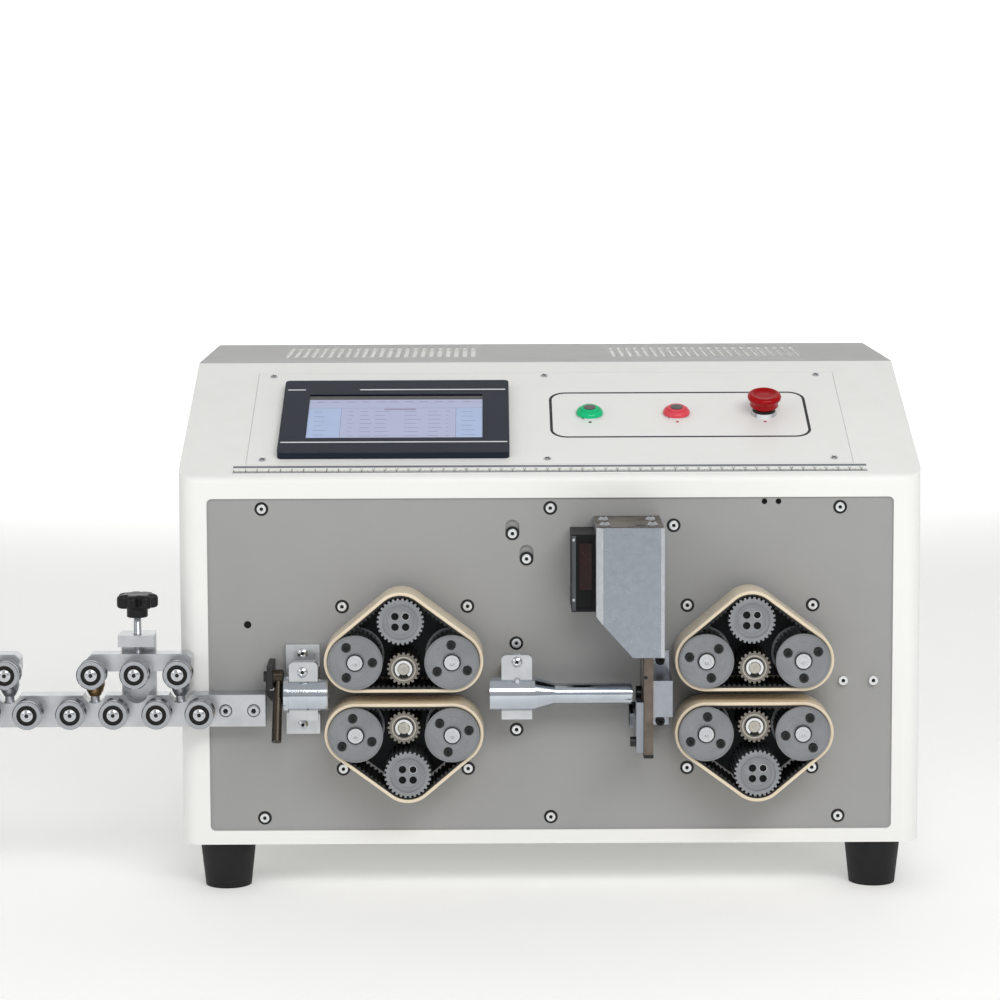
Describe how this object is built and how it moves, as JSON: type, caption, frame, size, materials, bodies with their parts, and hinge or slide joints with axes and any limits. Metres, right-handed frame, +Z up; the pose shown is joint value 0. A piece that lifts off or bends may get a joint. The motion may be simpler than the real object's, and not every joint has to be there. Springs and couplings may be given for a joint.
{
  "type": "wire cutting and stripping machine",
  "caption": "Bench machine that straightens, feeds, cuts and strips wire: belt feed units and blade head on a cabinet with a sloped control face and touch screen.",
  "frame": {"origin": "bottom centre of the machine's box, on the bench plane, straightener included", "axes": "+Z up, the front faces -Y, the wire runs along +X from the straightener to the outfeed"},
  "size_m": [0.903, 0.51, 0.4425],
  "materials": {
    "white_paint": "satin powder coat",
    "grey_paint": "matte powder coat",
    "black_rubber": "moulded rubber",
    "dark_plastic": "moulded, fine grain",
    "black_plastic": "moulded",
    "ruler_white": "printed strip",
    "bright_steel": "turned and zinc plated",
    "chrome": "polished",
    "cast_aluminium": "milled cast aluminium",
    "aluminium": "milled and anodised",
    "brown_steel": "ground tool steel",
    "dark_steel": "black oxide",
    "belt": "rubber cover on a toothed core",
    "pulley_grey": "machined",
    "green_button": "gloss",
    "red_button": "gloss",
    "red_metal": "gloss red head",
    "lever_bronze": "dark polished"
  },
  "bodies": {
    "cabinet": {"cabinet_shell": "white_paint", "base_pan": "white_paint", "feet": "black_rubber", "front_panel": "grey_paint", "control_plate": "white_paint", "ruler": "ruler_white", "touch_screen": "dark_plastic", "button_collars": "chrome", "cutter_cover": "cast_aluminium", "sensor_box": "black_plastic", "blade_rail": "brown_steel", "guide_tubes": "bright_steel", "tube_clamps": "bright_steel", "straightener_bar": "aluminium", "panel_screws": "bright_steel", "inner_modules": "dark_steel"},
    "upper_frame": {"upper_feed_frame": "dark_steel", "upper_belts": "belt"},
    "lower_frame": {"lower_feed_frame": "dark_steel", "lower_belts": "belt"},
    "infeed_upper_left_pulley": {"infeed_upper_left_pulley": "pulley_grey"},
    "infeed_upper_right_pulley": {"infeed_upper_right_pulley": "pulley_grey"},
    "infeed_upper_tension_pulley": {"infeed_upper_tension_pulley": "pulley_grey"},
    "infeed_upper_support_pulley": {"infeed_upper_support_pulley": "bright_steel"},
    "infeed_lower_left_pulley": {"infeed_lower_left_pulley": "pulley_grey"},
    "infeed_lower_right_pulley": {"infeed_lower_right_pulley": "pulley_grey"},
    "infeed_lower_tension_pulley": {"infeed_lower_tension_pulley": "pulley_grey"},
    "infeed_lower_support_pulley": {"infeed_lower_support_pulley": "bright_steel"},
    "outfeed_upper_left_pulley": {"outfeed_upper_left_pulley": "pulley_grey"},
    "outfeed_upper_right_pulley": {"outfeed_upper_right_pulley": "pulley_grey"},
    "outfeed_upper_tension_pulley": {"outfeed_upper_tension_pulley": "pulley_grey"},
    "outfeed_upper_support_pulley": {"outfeed_upper_support_pulley": "bright_steel"},
    "outfeed_lower_left_pulley": {"outfeed_lower_left_pulley": "pulley_grey"},
    "outfeed_lower_right_pulley": {"outfeed_lower_right_pulley": "pulley_grey"},
    "outfeed_lower_tension_pulley": {"outfeed_lower_tension_pulley": "pulley_grey"},
    "outfeed_lower_support_pulley": {"outfeed_lower_support_pulley": "bright_steel"},
    "lower_roller_1": {"lower_roller_1": "bright_steel"},
    "lower_roller_2": {"lower_roller_2": "bright_steel"},
    "lower_roller_3": {"lower_roller_3": "bright_steel"},
    "lower_roller_4": {"lower_roller_4": "bright_steel"},
    "lower_roller_5": {"lower_roller_5": "bright_steel"},
    "lower_roller_6": {"lower_roller_6": "bright_steel"},
    "lower_roller_7": {"lower_roller_7": "bright_steel"},
    "lower_roller_8": {"lower_roller_8": "bright_steel"},
    "inner_pressure_plate": {"inner_pressure_plate": "aluminium"},
    "inner_knob": {"inner_knob": "black_plastic"},
    "inner_upper_roller_1": {"inner_upper_roller_1": "bright_steel"},
    "inner_upper_roller_2": {"inner_upper_roller_2": "bright_steel"},
    "inner_upper_roller_3": {"inner_upper_roller_3": "bright_steel"},
    "outer_pressure_plate": {"outer_pressure_plate": "aluminium"},
    "outer_knob": {"outer_knob": "black_plastic"},
    "outer_upper_roller_1": {"outer_upper_roller_1": "bright_steel"},
    "outer_upper_roller_2": {"outer_upper_roller_2": "bright_steel"},
    "outer_upper_roller_3": {"outer_upper_roller_3": "bright_steel"},
    "upper_carriage": {"upper_blade_carriage": "bright_steel"},
    "lower_carriage": {"lower_blade_carriage": "bright_steel"},
    "start_button": {"start_button": "green_button"},
    "stop_button": {"stop_button": "red_button"},
    "emergency_stop": {"emergency_stop": "red_metal"},
    "inlet_lever": {"inlet_lever": "lever_bronze"}
  },
  "joints": [
    {"name": "upper_feed_lift", "type": "slide", "parent": "cabinet", "child": "upper_frame", "axis": [0, 0, 1], "range_m": [-0.004, 0.006]},
    {"name": "lower_feed_lift", "type": "slide", "parent": "cabinet", "child": "lower_frame", "axis": [0, 0, 1], "range_m": [-0.006, 0.004]},
    {"name": "infeed_upper_left_pulley_spin", "type": "hinge", "parent": "upper_frame", "child": "infeed_upper_left_pulley", "pos_m": [-0.035, -0.208, 0.2093], "axis": [0, 1, 0], "continuous": true},
    {"name": "infeed_upper_right_pulley_spin", "type": "hinge", "parent": "upper_frame", "child": "infeed_upper_right_pulley", "pos_m": [0.047, -0.208, 0.2093], "axis": [0, 1, 0], "continuous": true},
    {"name": "infeed_upper_tension_pulley_spin", "type": "hinge", "parent": "upper_frame", "child": "infeed_upper_tension_pulley", "pos_m": [0.0035, -0.208, 0.2438], "axis": [0, 1, 0], "continuous": true},
    {"name": "infeed_upper_support_pulley_spin", "type": "hinge", "parent": "upper_frame", "child": "infeed_upper_support_pulley", "pos_m": [0.006, -0.208, 0.2033], "axis": [0, 1, 0], "continuous": true},
    {"name": "infeed_lower_left_pulley_spin", "type": "hinge", "parent": "lower_frame", "child": "infeed_lower_left_pulley", "pos_m": [-0.035, -0.208, 0.1467], "axis": [0, 1, 0], "continuous": true},
    {"name": "infeed_lower_right_pulley_spin", "type": "hinge", "parent": "lower_frame", "child": "infeed_lower_right_pulley", "pos_m": [0.047, -0.208, 0.1467], "axis": [0, 1, 0], "continuous": true},
    {"name": "infeed_lower_tension_pulley_spin", "type": "hinge", "parent": "lower_frame", "child": "infeed_lower_tension_pulley", "pos_m": [0.009, -0.208, 0.1122], "axis": [0, 1, 0], "continuous": true},
    {"name": "infeed_lower_support_pulley_spin", "type": "hinge", "parent": "lower_frame", "child": "infeed_lower_support_pulley", "pos_m": [0.006, -0.208, 0.1527], "axis": [0, 1, 0], "continuous": true},
    {"name": "outfeed_upper_left_pulley_spin", "type": "hinge", "parent": "upper_frame", "child": "outfeed_upper_left_pulley", "pos_m": [0.2625, -0.208, 0.2093], "axis": [0, 1, 0], "continuous": true},
    {"name": "outfeed_upper_right_pulley_spin", "type": "hinge", "parent": "upper_frame", "child": "outfeed_upper_right_pulley", "pos_m": [0.3445, -0.208, 0.2093], "axis": [0, 1, 0], "continuous": true},
    {"name": "outfeed_upper_tension_pulley_spin", "type": "hinge", "parent": "upper_frame", "child": "outfeed_upper_tension_pulley", "pos_m": [0.301, -0.208, 0.2438], "axis": [0, 1, 0], "continuous": true},
    {"name": "outfeed_upper_support_pulley_spin", "type": "hinge", "parent": "upper_frame", "child": "outfeed_upper_support_pulley", "pos_m": [0.3035, -0.208, 0.2033], "axis": [0, 1, 0], "continuous": true},
    {"name": "outfeed_lower_left_pulley_spin", "type": "hinge", "parent": "lower_frame", "child": "outfeed_lower_left_pulley", "pos_m": [0.2625, -0.208, 0.1467], "axis": [0, 1, 0], "continuous": true},
    {"name": "outfeed_lower_right_pulley_spin", "type": "hinge", "parent": "lower_frame", "child": "outfeed_lower_right_pulley", "pos_m": [0.3445, -0.208, 0.1467], "axis": [0, 1, 0], "continuous": true},
    {"name": "outfeed_lower_tension_pulley_spin", "type": "hinge", "parent": "lower_frame", "child": "outfeed_lower_tension_pulley", "pos_m": [0.3065, -0.208, 0.1122], "axis": [0, 1, 0], "continuous": true},
    {"name": "outfeed_lower_support_pulley_spin", "type": "hinge", "parent": "lower_frame", "child": "outfeed_lower_support_pulley", "pos_m": [0.3035, -0.208, 0.1527], "axis": [0, 1, 0], "continuous": true},
    {"name": "lower_roller_1_spin", "type": "hinge", "parent": "cabinet", "child": "lower_roller_1", "pos_m": [-0.1685, -0.20815, 0.1625], "axis": [0, 1, 0], "continuous": true},
    {"name": "lower_roller_2_spin", "type": "hinge", "parent": "cabinet", "child": "lower_roller_2", "pos_m": [-0.2052, -0.20815, 0.1625], "axis": [0, 1, 0], "continuous": true},
    {"name": "lower_roller_3_spin", "type": "hinge", "parent": "cabinet", "child": "lower_roller_3", "pos_m": [-0.2419, -0.20815, 0.1625], "axis": [0, 1, 0], "continuous": true},
    {"name": "lower_roller_4_spin", "type": "hinge", "parent": "cabinet", "child": "lower_roller_4", "pos_m": [-0.2786, -0.20815, 0.1625], "axis": [0, 1, 0], "continuous": true},
    {"name": "lower_roller_5_spin", "type": "hinge", "parent": "cabinet", "child": "lower_roller_5", "pos_m": [-0.3153, -0.20815, 0.1625], "axis": [0, 1, 0], "continuous": true},
    {"name": "lower_roller_6_spin", "type": "hinge", "parent": "cabinet", "child": "lower_roller_6", "pos_m": [-0.352, -0.20815, 0.1625], "axis": [0, 1, 0], "continuous": true},
    {"name": "lower_roller_7_spin", "type": "hinge", "parent": "cabinet", "child": "lower_roller_7", "pos_m": [-0.3887, -0.20815, 0.1625], "axis": [0, 1, 0], "continuous": true},
    {"name": "lower_roller_8_spin", "type": "hinge", "parent": "cabinet", "child": "lower_roller_8", "pos_m": [-0.4254, -0.20815, 0.1625], "axis": [0, 1, 0], "continuous": true},
    {"name": "inner_plate_slide", "type": "slide", "parent": "cabinet", "child": "inner_pressure_plate", "axis": [0, 0, 1], "range_m": [-0.003, 0.003]},
    {"name": "inner_knob_turn", "type": "hinge", "parent": "inner_pressure_plate", "child": "inner_knob", "pos_m": [-0.22355, -0.1895, 0.217], "axis": [0, 0, 1], "range_deg": [-1090, 1090]},
    {"name": "inner_upper_roller_1_spin", "type": "hinge", "parent": "inner_pressure_plate", "child": "inner_upper_roller_1", "pos_m": [-0.18685, -0.20815, 0.197], "axis": [0, 1, 0], "continuous": true},
    {"name": "inner_upper_roller_2_spin", "type": "hinge", "parent": "inner_pressure_plate", "child": "inner_upper_roller_2", "pos_m": [-0.22355, -0.20815, 0.197], "axis": [0, 1, 0], "continuous": true},
    {"name": "inner_upper_roller_3_spin", "type": "hinge", "parent": "inner_pressure_plate", "child": "inner_upper_roller_3", "pos_m": [-0.26025, -0.20815, 0.197], "axis": [0, 1, 0], "continuous": true},
    {"name": "outer_plate_slide", "type": "slide", "parent": "cabinet", "child": "outer_pressure_plate", "axis": [0, 0, 1], "range_m": [-0.003, 0.003]},
    {"name": "outer_knob_turn", "type": "hinge", "parent": "outer_pressure_plate", "child": "outer_knob", "pos_m": [-0.37035, -0.1895, 0.217], "axis": [0, 0, 1], "range_deg": [-1090, 1090]},
    {"name": "outer_upper_roller_1_spin", "type": "hinge", "parent": "outer_pressure_plate", "child": "outer_upper_roller_1", "pos_m": [-0.33365, -0.20815, 0.197], "axis": [0, 1, 0], "continuous": true},
    {"name": "outer_upper_roller_2_spin", "type": "hinge", "parent": "outer_pressure_plate", "child": "outer_upper_roller_2", "pos_m": [-0.37035, -0.20815, 0.197], "axis": [0, 1, 0], "continuous": true},
    {"name": "outer_upper_roller_3_spin", "type": "hinge", "parent": "outer_pressure_plate", "child": "outer_upper_roller_3", "pos_m": [-0.40705, -0.20815, 0.197], "axis": [0, 1, 0], "continuous": true},
    {"name": "upper_blade_slide", "type": "slide", "parent": "cabinet", "child": "upper_carriage", "axis": [0, 0, 1], "range_m": [-0.0075, 0]},
    {"name": "lower_blade_slide", "type": "slide", "parent": "cabinet", "child": "lower_carriage", "axis": [0, 0, 1], "range_m": [0, 0.0075]},
    {"name": "start_button_press", "type": "slide", "parent": "cabinet", "child": "start_button", "axis": [0, 0.3552, -0.9348], "range_m": [0, 0.0025], "stiffness_N_per_m": 600, "springref_m": -0.002},
    {"name": "stop_button_press", "type": "slide", "parent": "cabinet", "child": "stop_button", "axis": [0, 0.3552, -0.9348], "range_m": [0, 0.0025], "stiffness_N_per_m": 600, "springref_m": -0.002},
    {"name": "emergency_stop_press", "type": "slide", "parent": "cabinet", "child": "emergency_stop", "axis": [0, 0.3552, -0.9348], "range_m": [0, 0.004]},
    {"name": "inlet_lever_swing", "type": "hinge", "parent": "cabinet", "child": "inlet_lever", "pos_m": [-0.1015, -0.208, 0.194], "axis": [1, 0, 0], "range_deg": [-55, 25]}
  ],
  "couplings": [
    {"joint": "lower_feed_lift", "follows": "upper_feed_lift", "ratio": -1},
    {"joint": "infeed_upper_right_pulley_spin", "follows": "infeed_upper_left_pulley_spin", "ratio": 1},
    {"joint": "infeed_upper_tension_pulley_spin", "follows": "infeed_upper_left_pulley_spin", "ratio": 1.1333},
    {"joint": "infeed_upper_support_pulley_spin", "follows": "infeed_upper_left_pulley_spin", "ratio": 1.7},
    {"joint": "infeed_lower_left_pulley_spin", "follows": "infeed_upper_left_pulley_spin", "ratio": -1},
    {"joint": "infeed_lower_right_pulley_spin", "follows": "infeed_upper_left_pulley_spin", "ratio": -1},
    {"joint": "infeed_lower_tension_pulley_spin", "follows": "infeed_upper_left_pulley_spin", "ratio": -1.1333},
    {"joint": "infeed_lower_support_pulley_spin", "follows": "infeed_upper_left_pulley_spin", "ratio": -1.7},
    {"joint": "outfeed_upper_right_pulley_spin", "follows": "outfeed_upper_left_pulley_spin", "ratio": 1},
    {"joint": "outfeed_upper_tension_pulley_spin", "follows": "outfeed_upper_left_pulley_spin", "ratio": 1.1333},
    {"joint": "outfeed_upper_support_pulley_spin", "follows": "outfeed_upper_left_pulley_spin", "ratio": 1.7},
    {"joint": "outfeed_lower_left_pulley_spin", "follows": "outfeed_upper_left_pulley_spin", "ratio": -1},
    {"joint": "outfeed_lower_right_pulley_spin", "follows": "outfeed_upper_left_pulley_spin", "ratio": -1},
    {"joint": "outfeed_lower_tension_pulley_spin", "follows": "outfeed_upper_left_pulley_spin", "ratio": -1.1333},
    {"joint": "outfeed_lower_support_pulley_spin", "follows": "outfeed_upper_left_pulley_spin", "ratio": -1.7},
    {"joint": "inner_knob_turn", "follows": "inner_plate_slide", "rad_per_m": 6283.2},
    {"joint": "outer_knob_turn", "follows": "outer_plate_slide", "rad_per_m": 6283.2},
    {"joint": "lower_blade_slide", "follows": "upper_blade_slide", "ratio": -1}
  ]
}
